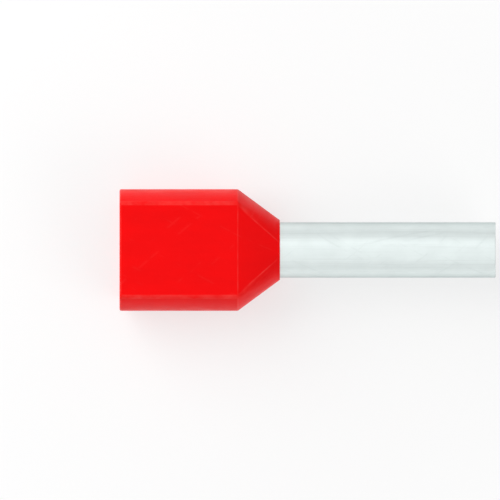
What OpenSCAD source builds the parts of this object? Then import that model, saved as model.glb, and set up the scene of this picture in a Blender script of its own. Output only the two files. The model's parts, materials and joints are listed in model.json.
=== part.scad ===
// Insulated twin wire ferrule: a round crimp sleeve with a flared mouth, held in a
// moulded collar whose flat-sided barrel takes two insulated wires side by side.
//
// +X runs along the sleeve to its tip, +Y is the wide way of the barrel and +Z is
// normal to its flat sides. X = 0 is the collar's front face, where the bare sleeve
// starts. All sizes are in millimetres.

/* [Collar] */
// Width of the barrel over its two bulging sides
barrel_w = 5.5; // [5:0.1:8]
// Height of the barrel between its flat sides
barrel_h = 3.7; // [3.6:0.1:4.6]
// Length of the straight barrel, from the mouth to the taper
barrel_l = 5.35; // [4.5:0.05:9]
// Length of the taper, from the barrel to the front face
taper_l = 1.9; // [1.2:0.1:3]
// Wall of the barrel
collar_wall = 0.3; // [0.2:0.05:0.4]
// Radius of the two bulging sides
bulge_r = 3.1; // [2.8:0.1:6]
// Radius of the four outer corners, where a flat side meets a bulging one
corner_r = 0.25; // [0.2:0.05:0.5]
// Radius of the four corners inside the chamber
inner_corner_r = 0.12; // [0.05:0.01:0.3]
// Radius of the mouth's outer edge
mouth_round = 0.12; // [0.04:0.02:0.14]
// Chamfer that leads the wires in at the mouth's inner edge
mouth_chamfer = 0.08; // [0.02:0.01:0.1]
// Thickness of the collar's front edge around the sleeve
front_lip = 0.1; // [0.06:0.02:0.4]
// Length of the funnel between the chamber and the sleeve's mouth
funnel_l = 1.4; // [0.6:0.1:2]

/* [Sleeve] */
// Outer diameter of the sleeve
sleeve_d = 2.5; // [2:0.05:2.6]
// Wall of the sleeve
sleeve_wall = 0.2; // [0.1:0.01:0.3]
// Bare length of the sleeve, from the collar's front face to the tip
pin_l = 9.75; // [6:0.25:18]
// Length of the flare inside the collar
flare_l = 2.1; // [1:0.1:2.6]
// How much wider the flare's rim is than the sleeve, on diameter
flare_step = 0.45; // [0.1:0.05:0.5]
// Straight length of the sleeve that the collar's neck grips
grip_l = 0.1; // [0.06:0.02:0.4]
// Chamfer left on the outer edges of the sleeve's cut ends
cut_chamfer = 0.04; // [0.01:0.01:0.06]

/* [Fit] */
// Clearance all round between the collar's seat and the sleeve
seat_gap = 0.02; // [0:0.01:0.04]

/* [Hidden] */

// Positions along X
mouth_x = -(taper_l + barrel_l);
rim_x = -(grip_l + flare_l);
funnel_x = rim_x - funnel_l;

// Radii of the sleeve
sleeve_r = sleeve_d / 2;
bore_r = sleeve_r - sleeve_wall;
rim_r = sleeve_r + flare_step / 2;
rim_bore_r = rim_r - sleeve_wall;

// Thickness of the slices that a hull joins, and how far a cut runs past a face
slice = 0.01;
past = 0.5;
// Steps along a bulging side, round a corner and round the mouth's edge
bulge_steps = 24;
corner_steps = 6;
round_steps = 4;
// Sides of the round neck and of the funnel's round end
round_fn = 96;

// Turns a shape drawn on XY and raised along Z to run along +X, with its own X on +Y
module along_x() {
    rotate([90, 0, 90]) children();
}

// A flat shape raised from one place along X to another
module raise(from, to) {
    translate([0, 0, from]) linear_extrude(to - from) children();
}

// Points of an arc from one angle to another, both ends included
function arc(centre, r, from, to, steps) = [
    for (i = [0 : steps])
        let (a = from + (to - from) * i / steps)
            centre + r * [cos(a), sin(a)]
];

// The barrel's outline: two flat sides, two bulging sides and four rounded corners.
// Each corner's arc touches a flat side and, from inside, the circle of a bulging one.
module outline(w, h, bulge, corner) {
    bulge_c = bulge - w / 2;
    corner_y = h / 2 - corner;
    touch = asin(corner_y / (bulge - corner));
    corner_x = (bulge - corner) * cos(touch) - bulge_c;
    step = 2 * touch / bulge_steps;
    right_end = concat(
        arc([corner_x, -corner_y], corner, -90, -touch, corner_steps),
        arc([-bulge_c, 0], bulge, step - touch, touch - step, bulge_steps - 2),
        arc([corner_x, corner_y], corner, touch, 90, corner_steps)
    );
    left_end = [for (p = right_end) -p];
    polygon(concat(right_end, left_end));
}

// The outside of the barrel, drawn in by inset all round
module outer_outline(inset = 0) {
    outline(barrel_w - 2 * inset, barrel_h - 2 * inset, bulge_r - inset, corner_r - inset);
}

// The section of the chamber, let out by spread all round
module chamber_outline(spread = 0) {
    inset = collar_wall - spread;
    outline(barrel_w - 2 * inset, barrel_h - 2 * inset, bulge_r - inset,
            inner_corner_r + spread);
}

// Outside of the collar: a rounded mouth, the straight barrel, and a taper that turns
// from the flat-sided section into the round neck
module collar_outside() {
    hull() {
        for (i = [1 : round_steps]) {
            turn = 90 * i / round_steps;
            x = mouth_x + mouth_round * (1 - sin(turn));
            raise(x, x + slice) outer_outline(mouth_round * (1 - cos(turn)));
        }
        raise(mouth_x + mouth_round, -taper_l) outer_outline();
        raise(-slice, 0) circle(sleeve_r + front_lip, $fn = round_fn);
    }
}

// Inside of the collar, down to the sleeve's mouth: the chamber that takes the wires'
// insulation, then a funnel from its flat-sided section to the round rim of the flare
module chamber_and_funnel() {
    hull() {
        raise(mouth_x - past, funnel_x) chamber_outline();
        raise(rim_x - slice, rim_x) circle(rim_r + seat_gap, $fn = round_fn);
    }
    hull() {
        raise(mouth_x - slice, mouth_x) chamber_outline(mouth_chamfer);
        raise(mouth_x, mouth_x + mouth_chamfer) chamber_outline();
    }
}

// Seat of the sleeve: a cone for its flare and a round neck that grips it
module sleeve_seat() {
    rotate_extrude($fn = round_fn)
        polygon([
            [0, rim_x - slice],
            [rim_r + seat_gap, rim_x - slice],
            [rim_r + seat_gap, rim_x],
            [sleeve_r + seat_gap, -grip_l],
            [sleeve_r + seat_gap, past],
            [0, past]
        ]);
}

// The collar, one moulding
module collar() {
    color("red")
        along_x()
            difference() {
                collar_outside();
                chamber_and_funnel();
                sleeve_seat();
            }
}

// The sleeve, one length of drawn tube with one end flared
module sleeve() {
    color("gainsboro")
        along_x()
            rotate_extrude($fn = round_fn)
                polygon([
                    [rim_bore_r, rim_x],
                    [rim_r - cut_chamfer, rim_x],
                    [rim_r, rim_x + cut_chamfer],
                    [sleeve_r, -grip_l],
                    [sleeve_r, pin_l - cut_chamfer],
                    [sleeve_r - cut_chamfer, pin_l],
                    [bore_r, pin_l],
                    [bore_r, -grip_l]
                ]);
}

collar();
sleeve();
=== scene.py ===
# %% [markdown]
# # An insulated twin wire ferrule
#
# A ferrule is crimped over the bared ends of stranded wires, so that they go into a clamp
# terminal as one solid pin. This one takes two wires side by side. It has just two
# pieces: a round sleeve of tinned copper with a flared mouth, and a red moulded collar
# with a flat-sided barrel that takes the two wires' insulation.
#
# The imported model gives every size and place. This lesson builds both pieces again as
# fine meshes, with the small rounded edges that catch the light, and gives each piece a
# surface of its own.

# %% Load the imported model
import json
import math

import bmesh
import bpy
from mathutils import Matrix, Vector


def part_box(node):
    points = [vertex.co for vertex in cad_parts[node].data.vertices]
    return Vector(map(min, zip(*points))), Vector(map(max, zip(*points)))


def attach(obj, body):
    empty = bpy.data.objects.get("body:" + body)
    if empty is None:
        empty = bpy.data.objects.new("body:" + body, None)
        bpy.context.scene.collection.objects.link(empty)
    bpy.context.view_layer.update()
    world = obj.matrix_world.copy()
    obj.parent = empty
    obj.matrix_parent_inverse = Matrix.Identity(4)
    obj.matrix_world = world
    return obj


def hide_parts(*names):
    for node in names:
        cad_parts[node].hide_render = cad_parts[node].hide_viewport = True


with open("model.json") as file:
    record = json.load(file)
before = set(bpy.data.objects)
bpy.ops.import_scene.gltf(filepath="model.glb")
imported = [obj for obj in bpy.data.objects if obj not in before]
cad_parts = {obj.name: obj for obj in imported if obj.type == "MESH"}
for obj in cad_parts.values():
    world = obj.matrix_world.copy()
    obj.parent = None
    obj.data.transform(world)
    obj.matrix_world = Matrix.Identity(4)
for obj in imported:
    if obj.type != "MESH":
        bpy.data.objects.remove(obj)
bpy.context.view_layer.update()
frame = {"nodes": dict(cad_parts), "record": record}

print("packed nodes:", sorted(frame["nodes"]))

# %% [markdown]
# ## Sizes
#
# Blender works in metres, and the whole ferrule is 17 mm long, so every size is written
# in millimetres and multiplied by MM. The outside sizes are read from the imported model's
# boxes and mounts, which keeps both models in step. Only what those can't tell, such as
# the collar's wall and the radii of its section, is named here.

# %% Read the sizes
MM = 0.001

collar_low, collar_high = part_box("collar")
sleeve_low, sleeve_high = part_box("sleeve")
mounts = {mount["name"]: mount for mount in frame["record"]["mounts"]}

mouth_x = collar_low.x
front_x = collar_high.x
half_width = collar_high.y
half_height = collar_high.z
rim_x = sleeve_low.x
tip_x = sleeve_high.x
rim_radius = sleeve_high.z
pin_radius = mounts["pin"]["dims"]["r_mm"] * MM
bore_radius = mounts["wire_bore"]["dims"]["r_mm"] * MM

TAPER_LENGTH = 1.9 * MM
COLLAR_WALL = 0.3 * MM
BULGE_RADIUS = 3.1 * MM
CORNER_RADIUS = 0.25 * MM
INNER_CORNER_RADIUS = 0.12 * MM
FUNNEL_LENGTH = 1.4 * MM
GRIP_LENGTH = 0.1 * MM
FRONT_LIP = 0.1 * MM
SEAT_GAP = 0.02 * MM

barrel_end_x = front_x - TAPER_LENGTH
funnel_x = rim_x - FUNNEL_LENGTH
grip_x = front_x - GRIP_LENGTH
sleeve_wall = pin_radius - bore_radius
print(f"overall length {(tip_x - mouth_x) / MM:.2f} mm, pin {2 * pin_radius / MM:.2f} mm thick")

# %% [markdown]
# ## A quarter of the barrel's section
#
# The barrel is neither an oval nor a box. Two sides are flat, two bulge on a large
# radius, and four small corners join them. A spline could be pulled into that shape, but
# arcs that touch each other are what a mould maker cuts. They also give the true outward
# direction at every point, which is needed later to round the mouth's edges.

# %% Helper for a quarter of the section
BULGE_STEPS = 16
CORNER_STEPS = 10
FLAT_STEPS = 12


def quarter_section(half_w, half_h, bulge, corner):
    """Points (y, z, outward angle), from mid bulging side to mid flat side."""
    bulge_centre = half_w - bulge
    corner_z = half_h - corner
    touch = math.asin(corner_z / (bulge - corner))
    corner_y = (bulge - corner) * math.cos(touch) + bulge_centre
    points = []
    for i in range(BULGE_STEPS):
        a = touch * i / BULGE_STEPS
        points.append((bulge_centre + bulge * math.cos(a), bulge * math.sin(a), a))
    for i in range(CORNER_STEPS):
        a = touch + (math.pi / 2 - touch) * i / CORNER_STEPS
        points.append((corner_y + corner * math.cos(a), corner_z + corner * math.sin(a), a))
    for i in range(FLAT_STEPS + 1):
        points.append((corner_y * (1 - i / FLAT_STEPS), half_h, math.pi / 2))
    return points


print("steps in a quarter:", BULGE_STEPS + CORNER_STEPS + FLAT_STEPS)

# %% [markdown]
# ## The whole section
#
# The section is the same left and right, and above and below, so three mirrored quarters
# complete it. Mirroring the finished mesh with a modifier would leave seams to weld. The
# chamber's section is drawn inside the barrel's, with the wall between them.

# %% Work out both sections
def full_section(quarter):
    """The whole outline from one quarter, as points (y, z, outward angle)."""
    there, back = quarter[:-1], quarter[:0:-1]
    return (
        there
        + [(-y, z, math.pi - a) for y, z, a in back]
        + [(-y, -z, math.pi + a) for y, z, a in there]
        + [(y, -z, 2 * math.pi - a) for y, z, a in back]
    )


outer_section = full_section(
    quarter_section(half_width, half_height, BULGE_RADIUS, CORNER_RADIUS)
)
inner_section = full_section(
    quarter_section(
        half_width - COLLAR_WALL,
        half_height - COLLAR_WALL,
        BULGE_RADIUS - COLLAR_WALL,
        INNER_CORNER_RADIUS,
    )
)
print("points round the section:", len(outer_section))

# %% [markdown]
# ## From flat-sided to round
#
# The taper outside and the funnel inside both turn the flat-sided section into a circle.
# Each point of the section needs a partner on that circle. Pairing by outward angle alone
# sends a whole flat side to one point, and pairing by distance round the outline twists
# the corners. The moulded surface lies between the two, so each partner's angle is mostly
# the first, evened out with some of the second.

# %% Pair the section with a circle
EVENING = 0.3


def partner_angles(section):
    """The angle on the round neck that each point of the section runs to."""
    lengths = [0.0]
    for (y0, z0, _), (y1, z1, _) in zip(section, section[1:] + section[:1]):
        lengths.append(lengths[-1] + math.hypot(y1 - y0, z1 - z0))
    return [
        (1 - EVENING) * a + EVENING * 2 * math.pi * length / lengths[-1]
        for (_, _, a), length in zip(section, lengths)
    ]


neck_angles = partner_angles(outer_section)
widest = max(b - a for a, b in zip(neck_angles, neck_angles[1:]))
print(f"widest step round the neck: {math.degrees(widest):.1f} degrees")

# %% [markdown]
# ## Rings
#
# Every surface here is a row of rings along the ferrule's length. A ring is a section, a
# circle, or a mixture of the two, and all have the same number of points, so that any ring
# can be joined to the next one point by point. Blender can bridge two loops by itself, but
# it has to guess which points belong together, and a twist shows in the taper at once.

# %% Helpers for rings
def section_ring(section, spread=0.0):
    """A section as points (y, z), let out by spread along its outward directions."""
    return [(y + spread * math.cos(a), z + spread * math.sin(a)) for y, z, a in section]


def round_ring(radius):
    """A circle as points (y, z), one for each point of the section."""
    return [(radius * math.cos(a), radius * math.sin(a)) for a in neck_angles]


def mixed_ring(first, second, share):
    """The ring that lies that share of the way from the first to the second."""
    return [
        (y0 + (y1 - y0) * share, z0 + (z1 - z0) * share)
        for (y0, z0), (y1, z1) in zip(first, second)
    ]


print("points in a ring:", len(round_ring(pin_radius)))

# %% [markdown]
# ## Rounded edges
#
# No moulded or cut edge is knife sharp, and the thin bright line along an edge is what
# makes an object look real. A bevel modifier rounds the edges of a simple box well, but
# on this form it would also bite into the small corners. So each rounded edge gets a few
# rings of its own, on a quarter of a circle.

# %% Helpers for edges
ARC_STEPS = 6
OUTSIDE = 1
BORE = -1


def edge_arc(radius):
    """Pairs (depth below the end face, inset from the side), from the side to the face."""
    turns = [math.pi / 2 * i / ARC_STEPS for i in range(ARC_STEPS + 1)]
    return [(radius * (1 - math.sin(a)), radius * (1 - math.cos(a))) for a in turns]


def round_edge(end_x, inward, wall_radius, side, rounding):
    """Rings over the edge of a round end, from the wall to the end's face.

    Inward is 1 or -1, the way along X from the face into the piece. Side is OUTSIDE or
    BORE, and says which way the wall turns.
    """
    return [
        (end_x + inward * depth, round_ring(wall_radius - side * inset))
        for depth, inset in edge_arc(rounding)
    ]


print("rings over a rounded edge:", len(edge_arc(1.0)))

# %% [markdown]
# ## Bends
#
# Where the barrel meets its taper, one slope turns into another, and so it does where the
# chamber meets its funnel and the sleeve its flare. One ring at the bend would leave a
# hard crease. A short parabola eases one slope into the other instead, and a few rings
# close together follow it. Away from the bends the rings can be far apart.

# %% Helpers for bends
BEND_STEPS = 6
BEND_MARGIN = 1.2


def places_between(start, end, count):
    """Evenly spaced places, with neither end."""
    return [start + (end - start) * i / count for i in range(1, count)]


def places_over_bend(bend, ease):
    """Places just before, on and just past a bend, from the mouth's side to the tip's."""
    reach = BEND_MARGIN * ease
    return places_between(bend - reach, bend + reach, BEND_STEPS)


def eased_slope(distance, ease):
    """0 before the bend and equal to distance past it, eased within ease of the bend."""
    if distance <= -ease:
        return 0.0
    if distance >= ease:
        return distance
    return (distance + ease) ** 2 / (4 * ease)


print("rings over a bend:", len(places_over_bend(0.0, 1.0)))

# %% [markdown]
# ## Finding the edges
#
# Wear shows on edges first, so the materials need to know where the edges are. Blender's
# Pointiness guesses that from the mesh, and long thin faces spoil the guess. Here it is
# measured: each point gets a number for how sharply the surface turns there, in radians
# per millimetre. An edge with a radius of 0.1 mm turns by 10, the sleeve's round wall by
# 0.8, and a flat not at all. The number is kept with the mesh as an attribute, which a
# material can read.

# %% Measure how sharply a skin turns
def outward_turns(skin):
    """For each point of a closed skin, its sharpest outward turn in radians per mm."""
    turns = [0.0] * len(skin.verts)
    for edge in skin.edges:
        first, second = [face.calc_center_median() for face in edge.link_faces]
        along = (edge.verts[1].co - edge.verts[0].co).normalized()
        across = second - first
        across -= along * across.dot(along)
        turn = edge.calc_face_angle_signed() / (across.length / MM)
        for point in edge.verts:
            turns[point.index] = max(turns[point.index], turn)
    return turns


print(f"the sleeve's round wall turns by {MM / pin_radius:.1f} radians per mm")

# %% [markdown]
# ## Skins made of rings
#
# Both pieces are tubes. The outside runs to one end, turns over the edge, runs back
# inside and meets itself again, so the whole skin is a list of rings, each joined to the
# next and the last joined to the first. Such a skin has no open edge and no end cap. It
# is watertight by the way it is made, and its faces follow the form, which cutting one
# solid from another would not give.
#
# Smooth shading would also bend the light on the flat faces next to a rounded edge. The
# weighted normal modifier lets the large faces decide, so that flats stay flat.

# %% Join rings into a skin
def skin_of_rings(name, rings):
    """A closed mesh from rings (x, points), all with the same number of points."""
    skin = bmesh.new()
    loops = [[skin.verts.new((x, y, z)) for y, z in ring] for x, ring in rings]
    for near, far in zip(loops, loops[1:] + loops[:1]):
        for i in range(len(near)):
            skin.faces.new((near[i - 1], near[i], far[i], far[i - 1]))
    bmesh.ops.recalc_face_normals(skin, faces=skin.faces)
    for face in skin.faces:
        face.smooth = True
    skin.verts.index_update()
    turns = outward_turns(skin)
    mesh = bpy.data.meshes.new(name)
    skin.to_mesh(mesh)
    skin.free()
    mesh.attributes.new("edge_turn", "FLOAT", "POINT").data.foreach_set("value", turns)
    piece = bpy.data.objects.new(name, mesh)
    bpy.context.scene.collection.objects.link(piece)
    piece.modifiers.new("flats_stay_flat", "WEIGHTED_NORMAL")
    print(f"{name}: {len(rings)} rings, {len(mesh.polygons)} faces, sharpest turn {max(turns):.0f}")
    return piece


# %% [markdown]
# ## Outside of the collar
#
# The collar is one injection moulding. Its thin front edge hugs the sleeve. From there
# the taper widens to the barrel, which runs straight back to the mouth. The line where
# the taper meets the barrel is crisp but not sharp. A lofted curve would give the taper
# too, but mixing each ring from the two sections says exactly where it lies.

# %% Rings of the outside
MOUTH_ROUND = 0.08 * MM
FRONT_ROUND = 0.03 * MM
TAPER_EASE = 0.04 * MM
TAPER_RINGS = 12
BARREL_RINGS = 12

outer_ring = section_ring(outer_section)
neck_ring = round_ring(pin_radius + FRONT_LIP)


def outside_at(x):
    """The collar's outside at x, on the barrel or on the taper."""
    share = eased_slope(x - barrel_end_x, TAPER_EASE) / TAPER_LENGTH
    return mixed_ring(outer_ring, neck_ring, share)


def drawn_in(ring, inset):
    """A nearly round ring, drawn in towards the axis."""
    return [
        (y - inset * math.cos(a), z - inset * math.sin(a))
        for (y, z), a in zip(ring, neck_angles)
    ]


taper_start = front_x - FRONT_ROUND
collar_rings = [
    (front_x - depth, drawn_in(outside_at(taper_start), inset))
    for depth, inset in reversed(edge_arc(FRONT_ROUND))
]
outside_places = (
    places_between(mouth_x + MOUTH_ROUND, barrel_end_x - TAPER_EASE, BARREL_RINGS)
    + places_over_bend(barrel_end_x, TAPER_EASE)
    + places_between(barrel_end_x + TAPER_EASE, taper_start, TAPER_RINGS)
)
collar_rings += [(x, outside_at(x)) for x in reversed(outside_places)]
collar_rings += [
    (mouth_x + depth, section_ring(outer_section, -inset))
    for depth, inset in edge_arc(MOUTH_ROUND)
]
print("rings of the outside:", len(collar_rings))

# %% [markdown]
# ## Inside of the collar
#
# The mouth's inner edge is rounded to lead the wires in. Behind it lies the chamber for
# their insulation, and then a funnel that guides the bare strands to the sleeve. The
# sleeve's flare sits in a cone just past the funnel, and the last tenth of a millimetre
# grips the sleeve itself. A boolean could cut this hollow out of a solid, but it leaves
# ragged faces behind, so the rings simply run on, in at the mouth and down to the neck.

# %% Rings of the inside
MOUTH_LEAD = 0.08 * MM
FUNNEL_EASE = 0.1 * MM
NECK_EDGE = 0.012 * MM
CHAMBER_RINGS = 8
FUNNEL_RINGS = 10
SEAT_RINGS = 8

inner_ring = section_ring(inner_section)
seat_ring = round_ring(rim_radius + SEAT_GAP)
grip_ring = round_ring(pin_radius + SEAT_GAP)


def inside_at(x):
    """The collar's inside at x, in the chamber or in the funnel."""
    share = eased_slope(x - funnel_x, FUNNEL_EASE) / FUNNEL_LENGTH
    return mixed_ring(inner_ring, seat_ring, share)


collar_rings += [
    (mouth_x + depth, section_ring(inner_section, inset))
    for depth, inset in reversed(edge_arc(MOUTH_LEAD))
]
inside_places = (
    places_between(mouth_x + MOUTH_LEAD, funnel_x - FUNNEL_EASE, CHAMBER_RINGS)
    + places_over_bend(funnel_x, FUNNEL_EASE)
    + places_between(funnel_x + FUNNEL_EASE, rim_x, FUNNEL_RINGS)
)
collar_rings += [(x, inside_at(x)) for x in inside_places]
collar_rings += [(rim_x, seat_ring)]
collar_rings += [
    (x, mixed_ring(seat_ring, grip_ring, (x - rim_x) / (grip_x - rim_x)))
    for x in places_between(rim_x, grip_x, SEAT_RINGS)
]
collar_rings += [(grip_x, grip_ring)]
collar_rings += round_edge(front_x, -1, pin_radius + SEAT_GAP, BORE, NECK_EDGE)
print("rings of the whole collar:", len(collar_rings))

# %% [markdown]
# ## The collar in its place
#
# The rings are joined into the finished moulding, which then stands in for the packed
# solid: it rides on the same body and hides that solid from view. The solid could be
# dressed as it is, but its edges are facets, and up close those show.

# %% Make the collar
collar = skin_of_rings("collar_moulding", collar_rings)
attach(collar, "root")
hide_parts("collar")

# %% [markdown]
# ## The sleeve
#
# The sleeve is one length of drawn copper tube. One end is flared so that it can't pull
# out of the collar, and both ends are cut and tumbled, which takes the burr off. It could
# be a screw modifier on a profile, but the same rings as before give it a closed wall
# with a mouth at each end.

# %% Walls of the sleeve
FLARE_EASE = 0.08 * MM
CUT_ROUND = 0.04 * MM
BORE_ROUND = 0.03 * MM
PIN_RINGS = 24
FLARE_RINGS = 8

flare_growth = (rim_radius - pin_radius) / (grip_x - rim_x)
wall_places = (
    places_between(rim_x + CUT_ROUND, grip_x - FLARE_EASE, FLARE_RINGS)
    + places_over_bend(grip_x, FLARE_EASE)
    + places_between(grip_x + FLARE_EASE, tip_x - CUT_ROUND, PIN_RINGS)
)


def tube_wall(straight_radius):
    """Rings of the tube's wall, from the flare to the tip."""
    return [
        (x, round_ring(straight_radius + flare_growth * eased_slope(grip_x - x, FLARE_EASE)))
        for x in wall_places
    ]


print(f"the flare widens by {math.degrees(math.atan(flare_growth)):.1f} degrees a side")

# %% [markdown]
# ## The sleeve in its place
#
# The tube's profile is walked once round: from the tip back along the outside, over the
# flare's rim, and out again through the bore. Each edge is rounded on the way. Then the
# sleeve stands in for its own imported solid, as the collar does.

# %% Make the sleeve
tip_edge = round_edge(tip_x, -1, pin_radius, OUTSIDE, CUT_ROUND)
rim_edge = round_edge(rim_x, 1, rim_radius, OUTSIDE, CUT_ROUND)
rim_bore_edge = round_edge(rim_x, 1, rim_radius - sleeve_wall, BORE, BORE_ROUND)
tip_bore_edge = round_edge(tip_x, -1, bore_radius, BORE, BORE_ROUND)
sleeve_rings = (
    tip_edge[::-1]
    + tube_wall(pin_radius)[::-1]
    + rim_edge
    + rim_bore_edge[::-1]
    + tube_wall(bore_radius)
    + tip_bore_edge
)
sleeve = skin_of_rings("sleeve_tube", sleeve_rings)
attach(sleeve, "root")
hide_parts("sleeve")

# %% [markdown]
# ## Building materials from nodes
#
# A finish is a small graph of nodes. It can be drawn by hand in the shader editor, or
# written down as here, where it can be read from top to bottom and made again. One helper
# makes a node, fills in its settings and links what feeds it, so that each graph below
# reads from its texture to its shader.

# %% Helper for one node
def add_node(tree, kind, inputs=None, **settings):
    """A new node. An input is given as a value, or as the output socket that feeds it."""
    node = tree.nodes.new(kind)
    for key, value in settings.items():
        setattr(node, key, value)
    for key, value in (inputs or {}).items():
        if isinstance(value, bpy.types.NodeSocket):
            tree.links.new(value, node.inputs[key])
        else:
            node.inputs[key].default_value = value
    return node


print("Blender", bpy.app.version_string, "builds the finishes")

# %% [markdown]
# ## Nodes that work with numbers
#
# Most of a finish is arithmetic: a noise is spread over a range, a mask is multiplied, a
# direction is compared with another. Short names for those nodes keep the graphs readable.
# All textures take their place on the object in millimetres, because then a scale of 4
# plainly means four features in each millimetre.

# %% Helpers for numbers and places
def spread_over(tree, value, low, high, to_low=0.0, to_high=1.0):
    """A value from low to high, spread smoothly over another range."""
    return add_node(
        tree,
        "ShaderNodeMapRange",
        {
            "Value": value,
            "From Min": low,
            "From Max": high,
            "To Min": to_low,
            "To Max": to_high,
        },
        interpolation_type="SMOOTHSTEP",
    ).outputs[0]


def math_node(tree, operation, first, second=0.0):
    """An operation on plain values, as its output."""
    return add_node(tree, "ShaderNodeMath", {0: first, 1: second}, operation=operation).outputs[0]


def vector_node(tree, operation, first, second=(0.0, 0.0, 0.0), output="Vector"):
    """An operation on vectors. A dot product or a length comes out as Value."""
    return add_node(
        tree, "ShaderNodeVectorMath", {0: first, 1: second}, operation=operation
    ).outputs[output]


def place_in_mm(tree):
    """Each point's place on the object, in millimetres."""
    place = add_node(tree, "ShaderNodeTexCoord").outputs["Object"]
    return vector_node(tree, "MULTIPLY", place, (1 / MM, 1 / MM, 1 / MM))


print(f"textures take their place in millimetres, {1 / MM:.0f} to the metre")

# %% [markdown]
# ## Effects as groups
#
# Both finishes need the same effects, such as patches, lines and worn edges, only at
# another scale and strength. The nodes could be copied from one material to the other,
# but then each change has to be made twice. A node group is built once and placed in each
# material with that material's own values.

# %% Helpers for groups
FLOAT = "NodeSocketFloat"
VECTOR = "NodeSocketVector"


def new_group(name, inputs, output):
    """An empty group with those float inputs beside Place, as (tree, its inputs, its output)."""
    group = bpy.data.node_groups.new(name, "ShaderNodeTree")
    group.interface.new_socket(name="Place", in_out="INPUT", socket_type=VECTOR)
    for label in inputs:
        group.interface.new_socket(name=label, in_out="INPUT", socket_type=FLOAT)
    group.interface.new_socket(name=output, in_out="OUTPUT", socket_type=FLOAT)
    start = group.nodes.new("NodeGroupInput")
    end = group.nodes.new("NodeGroupOutput")
    print(f"group {name}: {', '.join(('Place', *inputs))} -> {output}")
    return group, start.outputs, end.inputs[output]


def place_group(tree, group, inputs):
    """A group placed in a material or in another group, as the value it gives."""
    return add_node(tree, "ShaderNodeGroup", inputs, node_tree=group).outputs[0]


print(f"a group takes its place as {VECTOR} and the rest as {FLOAT}")

# %% [markdown]
# ## Effect: clouds
#
# No surface has quite the same shade all over. Plastic flows into its mould in tongues,
# and tin plates a little thicker here than there. Soft noise gives both, and a group lets
# each material choose its own patch size and its own range of values. Noise keeps mostly
# between 0.3 and 0.7, so that middle part is stretched over the whole range. The group
# puts out a plain value, which may feed a colour's brightness or the roughness.

# %% Build the clouds group
NOISE_LOW = 0.3
NOISE_HIGH = 0.7

clouds, given, result = new_group("clouds", ("Per mm", "Low", "High"), "Value")
noise = add_node(
    clouds,
    "ShaderNodeTexNoise",
    {"Vector": given["Place"], "Scale": given["Per mm"], "Detail": 3.0, "Roughness": 0.55},
)
spread = add_node(
    clouds,
    "ShaderNodeMapRange",
    {
        "Value": noise.outputs[0],
        "From Min": NOISE_LOW,
        "From Max": NOISE_HIGH,
        "To Min": given["Low"],
        "To Max": given["High"],
    },
)
clouds.links.new(spread.outputs[0], result)

# %% [markdown]
# ## Effect: lines along the length
#
# A drawn tube keeps faint lines from the die, and a moulding keeps even fainter ones from
# being pushed off its core. Both run along the length. Noise that is squeezed across and
# stretched along gives lines that start, fade and end, which a wave texture would not.

# %% Build the lines group
lengthwise_lines, given, result = new_group(
    "lengthwise_lines", ("Across per mm", "Along per mm"), "Height"
)
across = given["Across per mm"]
stretch = add_node(
    lengthwise_lines, "ShaderNodeCombineXYZ", {0: given["Along per mm"], 1: across, 2: across}
)
squeezed = vector_node(lengthwise_lines, "MULTIPLY", given["Place"], stretch.outputs[0])
noise = add_node(
    lengthwise_lines,
    "ShaderNodeTexNoise",
    {"Vector": squeezed, "Scale": 1.0, "Detail": 2.5, "Roughness": 0.6},
)
lengthwise_lines.links.new(noise.outputs[0], result)

# %% [markdown]
# ## Effect: fine grain
#
# Up close, the moulding has the fine spark texture of its mould, and the tin has its
# matte crystals. Real dents would need millions of faces, and a bump made from noise needs
# none. Two layers of noise, one four times finer, look less even than one.

# %% Build the grain group
FINER = 4.0
FINER_SHARE = 0.35

fine_grain, given, result = new_group("fine_grain", ("Per mm",), "Height")
layers = [
    add_node(
        fine_grain,
        "ShaderNodeTexNoise",
        {"Vector": given["Place"], "Scale": scale, "Detail": 1.0},
    ).outputs[0]
    for scale in (given["Per mm"], math_node(fine_grain, "MULTIPLY", given["Per mm"], FINER))
]
finer_part = math_node(fine_grain, "MULTIPLY", layers[1], FINER_SHARE)
fine_grain.links.new(math_node(fine_grain, "ADD", layers[0], finer_part), result)

# %% [markdown]
# ## Hairlines one way
#
# Ferrules are tumbled, counted and bagged by the hundred, so even new ones carry hairline
# marks. A hairline is straight, so it needs noise along one direction only: its highest
# peaks give thin parallel lines wherever the surface runs. Clouds cut each line short.
# Where a face looks straight along the direction, its peaks would spread into a broad
# smear, so they fade out there.

# %% Helper for hairlines
PEAK_FROM = 0.69
PEAK_FULL = 0.76
LEAN_FROM = 0.6
LEAN_FULL = 0.85
PATCHES_PER_MM = 2.0
CUT_FROM = 0.3
CUT_FULL = 0.9


def hairlines_across(tree, place, per_mm, way):
    """A mask of thin lines square to that way, each cut short by clouds."""
    across = vector_node(tree, "DOT_PRODUCT", place, way, "Value")
    noise = add_node(
        tree,
        "ShaderNodeTexNoise",
        {"W": across, "Scale": per_mm, "Detail": 0.0},
        noise_dimensions="1D",
    )
    peaks = spread_over(tree, noise.outputs[0], PEAK_FROM, PEAK_FULL)

    facing = add_node(tree, "ShaderNodeNewGeometry").outputs["Normal"]
    lean = math_node(tree, "ABSOLUTE", vector_node(tree, "DOT_PRODUCT", facing, way, "Value"))
    thin = spread_over(tree, lean, LEAN_FROM, LEAN_FULL, 1.0, 0.0)

    shifted = vector_node(tree, "MULTIPLY", vector_node(tree, "SUBTRACT", place, way), way)
    patches = place_group(
        tree, clouds, {"Place": shifted, "Per mm": PATCHES_PER_MM, "Low": -1.0, "High": 1.5}
    )
    short = spread_over(tree, patches, CUT_FROM, CUT_FULL)
    return math_node(tree, "MULTIPLY", math_node(tree, "MULTIPLY", peaks, thin), short)


print(f"a hairline is where the noise passes {PEAK_FROM}")

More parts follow.
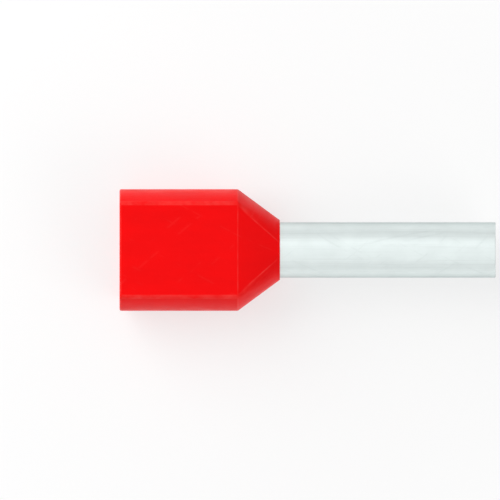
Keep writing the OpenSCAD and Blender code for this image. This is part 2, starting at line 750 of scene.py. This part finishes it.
# %% [markdown]
# ## Effect: handling marks
#
# Hairlines that all run one way look combed, so three layers of them cross each other. The
# strongest of the three counts at each point. Scratches painted by hand would be more
# varied, but they would need a picture, and they would repeat from ferrule to ferrule.

# %% Build the marks group
HAIRLINE_WAYS = ((0.45, 0.85, 0.3), (-0.6, 0.7, 0.45), (0.2, -0.5, 0.85))

handling_marks, given, result = new_group("handling_marks", ("Per mm",), "Mask")
hairlines = 0.0
for way in HAIRLINE_WAYS:
    layer = hairlines_across(handling_marks, given["Place"], given["Per mm"], way)
    hairlines = math_node(handling_marks, "MAXIMUM", layer, hairlines)
handling_marks.links.new(hairlines, result)

# %% [markdown]
# ## Effect: rubbed edges
#
# Edges touch their neighbours first, so they end up smoother than the faces beside them,
# and on plastic a little paler; the red finish makes them paler still, as a painted highlight
# along each edge. Wear painted on by hand wouldn't follow a change of shape.
# The measured turn does: it tells where the edges are, and clouds break the wear up, since
# it is never even.

# %% Build the edges group
EDGE_FROM = 1.0
EDGE_FULL = 4.0

rubbed_edges, given, result = new_group("rubbed_edges", (), "Mask")
turn = add_node(rubbed_edges, "ShaderNodeAttribute", attribute_name="edge_turn").outputs["Fac"]
edge = spread_over(rubbed_edges, turn, EDGE_FROM, EDGE_FULL)
patches = place_group(
    rubbed_edges,
    clouds,
    {"Place": given["Place"], "Per mm": PATCHES_PER_MM, "Low": 0.2, "High": 1.2},
)
rubbed_edges.links.new(math_node(rubbed_edges, "MULTIPLY", edge, patches), result)

# %% [markdown]
# ## Mixing the effects
#
# The same three steps end both finishes: a colour is multiplied by a shade that drifts
# over the surface, worn places add to or take from the roughness, and relief is laid on
# in layers, the coarse one first. Each step is a small helper, so that a finish reads as
# a recipe. One node mixes both colours and plain values, but each kind has sockets of its
# own, which are known by number because their names are the same.

# %% Helpers for finishes
def new_material(name):
    """A material made of nodes, as (material, its tree, its Principled shader)."""
    material = bpy.data.materials.new(name)
    material.use_nodes = True
    print("material:", name)
    return material, material.node_tree, material.node_tree.nodes["Principled BSDF"]


def mixed_colour(tree, share, first, second, blend="MIX"):
    """Two colours mixed by a share, from all the first to all the second."""
    return add_node(
        tree, "ShaderNodeMix", {0: share, 6: first, 7: second}, data_type="RGBA", blend_type=blend
    ).outputs[2]


def mixed_value(tree, share, first, second):
    """Two plain values mixed by a share, from all the first to all the second."""
    return add_node(
        tree, "ShaderNodeMix", {0: share, 2: first, 3: second}, data_type="FLOAT"
    ).outputs[0]


def tinted(tree, colour, shade):
    """A colour multiplied by a shade that changes over the surface."""
    grey = add_node(tree, "ShaderNodeCombineColor", {0: shade, 1: shade, 2: shade})
    return mixed_colour(tree, 1.0, colour, grey.outputs[0], "MULTIPLY")


def weighted_sum(tree, total, *parts):
    """A value plus parts, each given as (value, weight)."""
    for value, weight in parts:
        total = math_node(tree, "ADD", total, math_node(tree, "MULTIPLY", value, weight))
    return total


def layered_bumps(tree, *layers):
    """A normal from layers of relief, each given as (height, depth)."""
    inputs = {}
    for height, depth in layers:
        inputs.update({"Height": height, "Distance": depth, "Strength": 1.0})
        inputs["Normal"] = add_node(tree, "ShaderNodeBump", inputs).outputs[0]
    return inputs["Normal"]


print("a finish mixes its colour, sums its roughness and layers its relief")

# %% [markdown]
# ## Red moulded plastic
#
# The collar is polypropylene in the colour that stands for its wire size. It is vivid and
# a little waxy: light sinks in slightly, and reflections are soft. A painted look would
# come from one colour and a sharp gloss. Here the brightness drifts along the flow of the
# melt, the grain softens the gloss, and hairlines are a shade paler. The edges are paler
# too, partly as rubbed wear and partly as a painted highlight that marks each edge.

# %% Make the red plastic
RED = (0.90, 0.002, 0.003, 1.0)
WORN_AND_HIGHLIGHT_RED = (0.95, 0.09, 0.08, 1.0)
EDGE_WEAR_AND_HIGHLIGHT = 0.35
HAIRLINE_PALENESS = 0.07
FLOW_STRETCH = (0.35, 1.0, 1.0)


def make_red_plastic():
    """The collar's finish."""
    material, tree, shader = new_material("red_polypropylene")
    place = place_in_mm(tree)
    along_flow = vector_node(tree, "MULTIPLY", place, FLOW_STRETCH)

    flow = place_group(
        tree, clouds, {"Place": along_flow, "Per mm": 0.9, "Low": 0.955, "High": 1.035}
    )
    dull = place_group(tree, clouds, {"Place": place, "Per mm": 1.6, "Low": 0.35, "High": 0.45})
    edges = place_group(tree, rubbed_edges, {"Place": place})
    hairlines = place_group(tree, handling_marks, {"Place": place, "Per mm": 6.0})
    lines = place_group(
        tree, lengthwise_lines, {"Place": place, "Across per mm": 6.0, "Along per mm": 0.25}
    )
    grain = place_group(tree, fine_grain, {"Place": place, "Per mm": 9.0})

    # Edges turn paler partly from rubbing and partly as a painted highlight along each edge;
    # hairlines are paler scratches.
    paler_wear_and_highlight = weighted_sum(tree, 0.0, (edges, EDGE_WEAR_AND_HIGHLIGHT), (hairlines, HAIRLINE_PALENESS))
    colour = mixed_colour(tree, paler_wear_and_highlight, tinted(tree, RED, flow), WORN_AND_HIGHLIGHT_RED)
    roughness = weighted_sum(tree, dull, (hairlines, 0.1), (edges, -0.05))
    relief = layered_bumps(tree, (lines, 0.004 * MM), (grain, 0.004 * MM))
    tree.links.new(colour, shader.inputs["Base Color"])
    tree.links.new(roughness, shader.inputs["Roughness"])
    tree.links.new(relief, shader.inputs["Normal"])

    shader.inputs["IOR"].default_value = 1.49
    shader.inputs["Specular IOR Level"].default_value = 0.09
    shader.inputs["Subsurface Weight"].default_value = 0.15
    shader.inputs["Subsurface Radius"].default_value = (1.0, 0.12, 0.08)
    shader.inputs["Subsurface Scale"].default_value = 0.25 * MM
    return material


collar.data.materials.append(make_red_plastic())

# %% [markdown]
# ## Tinned copper
#
# The sleeve is copper, plated with tin after it was cut, so the cut ends are silver too.
# Tin is a soft, pale metal with a satin sheen: brighter than steel and never mirror
# sharp. One even roughness would look like a mirror seen through fog. Draw lines along the
# tube give the sheen a direction, the clouds of the plating vary it, and a few hairlines
# cross them. The grooves of the draw lines are also painted a shade darker, as painted
# shade that falls into them.

# %% Make the tinned copper
TIN = (0.835, 0.91, 0.9, 1.0)
TIN_AT_EDGES = (0.55, 0.58, 0.58, 1.0)
GROOVE_DEEP = 0.3
GROOVE_SHALLOW = 0.55
GROOVE_PAINTED_SHADE = 0.95
DRAWN_FROM = 0.35
DRAWN_FULL = 0.65


def make_tinned_copper():
    """The sleeve's finish."""
    material, tree, shader = new_material("drawn_copper_with_tin")
    place = place_in_mm(tree)

    plating = place_group(
        tree, clouds, {"Place": place, "Per mm": 1.1, "Low": 0.97, "High": 1.02}
    )
    sheen = place_group(tree, clouds, {"Place": place, "Per mm": 1.8, "Low": 0.33, "High": 0.42})
    edges = place_group(tree, rubbed_edges, {"Place": place})
    hairlines = place_group(tree, handling_marks, {"Place": place, "Per mm": 8.0})
    lines = place_group(
        tree, lengthwise_lines, {"Place": place, "Across per mm": 10.0, "Along per mm": 0.18}
    )
    grain = place_group(tree, fine_grain, {"Place": place, "Per mm": 14.0})

    # Painted shade: the colour is a little darker in the draw lines' grooves, where shade would
    # fall.
    groove_painted_shade = spread_over(tree, lines, GROOVE_DEEP, GROOVE_SHALLOW, GROOVE_PAINTED_SHADE, 1.0)
    drawn = spread_over(tree, lines, DRAWN_FROM, DRAWN_FULL)
    marks_and_groove_shade = math_node(tree, "MULTIPLY", groove_painted_shade, weighted_sum(tree, 1.0, (hairlines, -0.025)))
    colour = tinted(tree, TIN, math_node(tree, "MULTIPLY", plating, marks_and_groove_shade))
    roughness = weighted_sum(tree, sheen, (drawn, 0.06), (hairlines, 0.05), (edges, -0.04))
    relief = layered_bumps(tree, (lines, 0.004 * MM), (grain, 0.0008 * MM))
    tree.links.new(colour, shader.inputs["Base Color"])
    tree.links.new(roughness, shader.inputs["Roughness"])
    tree.links.new(relief, shader.inputs["Normal"])

    shader.inputs["Metallic"].default_value = 1.0
    shader.inputs["Specular Tint"].default_value = TIN_AT_EDGES
    return material


sleeve.data.materials.append(make_tinned_copper())

# %% [markdown]
# ## Floor
#
# The ferrule lies on its flat side, on a sheet of white paper. A studio would bend the
# paper up behind the object, which hides its end from one side only. One very large square
# at the height of the flat side hides its end from all sides.

# %% Lay the floor
FLOOR_HALF = 400 * MM

floor_mesh = bpy.data.meshes.new("paper_floor")
corners = [(-1, -1), (1, -1), (1, 1), (-1, 1)]
floor_mesh.from_pydata(
    [(x * FLOOR_HALF, y * FLOOR_HALF, -half_height) for x, y in corners], [], [(0, 1, 2, 3)]
)
floor = bpy.data.objects.new("paper_floor", floor_mesh)
bpy.context.scene.collection.objects.link(floor)
print(f"the floor lies {half_height / MM:.2f} mm below the sleeve's axis")

# %% [markdown]
# ## What is seen and what gives light
#
# A studio's white is two things at once: it is looked at, and it lights the object. Those
# two can be told apart by the kind of ray that arrives. Both the paper and the tent use
# that, so that they can look white and still give no more light than is wanted.

# %% Helper for rays
def seen_rays(tree):
    """1 for what the camera and reflections see, 0 for rays that carry light elsewhere."""
    path = add_node(tree, "ShaderNodeLightPath").outputs
    direct = math_node(tree, "MAXIMUM", path["Is Camera Ray"], path["Is Glossy Ray"])
    return math_node(tree, "MAXIMUM", direct, path["Is Transmission Ray"])


print("rays that count as seen: camera, glossy and transmission")

# %% [markdown]
# ## White paper
#
# White paper under plain light comes out a little grey, and more light would bleach the
# ferrule, so part of the white is a glow that only seen rays meet. Within 10 mm of the
# collar's front face over a third of the white is real light, which keeps the soft shadow.
# By 24 mm the glow has taken over, so that the floor has no visible end. From below, the
# paper lets the view through.

# %% Make the white paper
SHADOW_REACH_MM = 10.0
GLOW_FULL_MM = 24.0
GLOW_NEAR = 0.62
WHITE = (1.0, 1.0, 1.0, 1.0)


def make_paper():
    """The floor's finish, part lit paper and part glow."""
    material, tree, shader = new_material("white_paper")
    tree.nodes.remove(shader)
    place = place_in_mm(tree)

    shade = place_group(tree, clouds, {"Place": place, "Per mm": 0.05, "Low": 0.94, "High": 0.95})
    paper = add_node(tree, "ShaderNodeBsdfDiffuse", {0: tinted(tree, WHITE, shade)})
    glow = add_node(tree, "ShaderNodeEmission", {"Color": WHITE, "Strength": 1.0})

    distance = vector_node(tree, "LENGTH", place, output="Value")
    share = spread_over(tree, distance, SHADOW_REACH_MM, GLOW_FULL_MM, GLOW_NEAR, 1.0)
    glowing = math_node(tree, "MULTIPLY", share, seen_rays(tree))
    white = add_node(
        tree, "ShaderNodeMixShader", {0: glowing, 1: paper.outputs[0], 2: glow.outputs[0]}
    )
    clear = add_node(tree, "ShaderNodeBsdfTransparent")
    underside = add_node(tree, "ShaderNodeNewGeometry").outputs["Backfacing"]
    surface = add_node(
        tree, "ShaderNodeMixShader", {0: underside, 1: white.outputs[0], 2: clear.outputs[0]}
    )
    tree.links.new(surface.outputs[0], tree.nodes["Material Output"].inputs["Surface"])
    return material


floor_mesh.materials.append(make_paper())

# %% [markdown]
# ## Soft boxes
#
# The ferrule stands in a white tent, which lights it evenly from all round, and soft boxes
# give it form. Tent and boxes together light a level face to about 1, so that a colour
# shows about as it is written. A box of brightness 1 looks as bright as lit white paper.
# Pale metal would mirror a box that bright as a plain white patch and lose its draw lines,
# so reflections see only a weak one overhead.

# %% Set up the soft boxes
middle = Vector(((mouth_x + tip_x) / 2, 0.0, 0.0))


def soft_box(name, direction, distance, size, brightness, in_reflections=False):
    """A square lamp that faces the ferrule from that direction."""
    lamp = bpy.data.lights.new(name, "AREA")
    lamp.size = size
    lamp.energy = brightness * math.pi * size * size
    towards = Vector(direction).normalized()
    box = bpy.data.objects.new(name, lamp)
    box.location = middle + towards * distance
    box.rotation_euler = towards.to_track_quat("Z", "Y").to_euler()
    box.visible_camera = False
    box.visible_glossy = in_reflections
    bpy.context.scene.collection.objects.link(box)
    print(f"{name}: {size / MM:.0f} mm wide, {distance / MM:.0f} mm away")
    return box


soft_box("key_box", (-0.85, 0.45, 0.7), distance=110 * MM, size=100 * MM, brightness=2.75)
soft_box("side_box", (0.85, -0.7, 0.65), distance=130 * MM, size=90 * MM, brightness=1.8)
soft_box("back_box", (-0.5, 0.8, 0.4), distance=130 * MM, size=60 * MM, brightness=0.8)
soft_box(
    "sheen_box",
    (-0.2, 0.5, 0.85),
    distance=110 * MM,
    size=60 * MM,
    brightness=0.3,
    in_reflections=True,
)

# %% [markdown]
# ## The white tent
#
# The tent is the world's background, and it shows three faces. The camera sees plain
# white. Rays that only carry light see it at half strength, since the soft boxes give the
# rest. Reflections see white overhead and grey cards low down all round, because what
# gives a bright tube its form is something darker to mirror. The cards are pale along the
# ferrule's sides and darken smoothly towards its ends. A background picture could hold
# all this, but a few nodes say plainly what is where.

# %% Put up the tent
AMBIENT = 0.5
END_CARDS = 0.4
SIDE_CARDS = 0.83
ENDS_FROM = 0.15
ENDS_FULL = 0.5
FADE_FROM = 0.2
FADE_FULL = 0.75

world = bpy.data.worlds.new("white_tent")
bpy.context.scene.world = world
world.use_nodes = True
tent = world.node_tree
background = tent.nodes["Background"]
background.inputs["Color"].default_value = WHITE

direction = add_node(tent, "ShaderNodeTexCoord").outputs["Generated"]
way = add_node(tent, "ShaderNodeSeparateXYZ", {0: direction})
endwise = math_node(tent, "ABSOLUTE", way.outputs["X"])
cards = spread_over(tent, endwise, ENDS_FROM, ENDS_FULL, SIDE_CARDS, END_CARDS)
mirrored = spread_over(tent, way.outputs["Z"], FADE_FROM, FADE_FULL, cards, 1.0)
path = add_node(tent, "ShaderNodeLightPath").outputs
seen = mixed_value(tent, path["Is Camera Ray"], mirrored, 1.0)
strength = mixed_value(tent, seen_rays(tent), AMBIENT, seen)
tent.links.new(strength, background.inputs["Strength"])
print(f"the tent lights at {AMBIENT}, its cards look {END_CARDS} and {SIDE_CARDS} bright")

# %% [markdown]
# ## Camera
#
# The camera looks straight down on the ferrule, as a drawing board would show it. Even a
# long lens would show the near edges of the mouth and the tip a little larger than the
# far ones. An orthographic camera has no near and far, so both ends show as straight
# lines, and every part shows in its true proportion.

# %% Place the camera
VIEW_WIDTH = 22.6 * MM
TIP_MARGIN = 0.2 * MM
CAMERA_HEIGHT = 100 * MM

camera_data = bpy.data.cameras.new("camera")
camera_data.type = "ORTHO"
camera_data.ortho_scale = VIEW_WIDTH
camera_data.clip_start = 1 * MM
camera_data.clip_end = 1.0
camera = bpy.data.objects.new("camera", camera_data)
camera.location = (tip_x + TIP_MARGIN - VIEW_WIDTH / 2, 0.0, CAMERA_HEIGHT)
bpy.context.scene.collection.objects.link(camera)
bpy.context.scene.camera = camera
bpy.context.scene.view_settings.view_transform = "Standard"
print(f"the view is {VIEW_WIDTH / MM:.1f} mm wide")
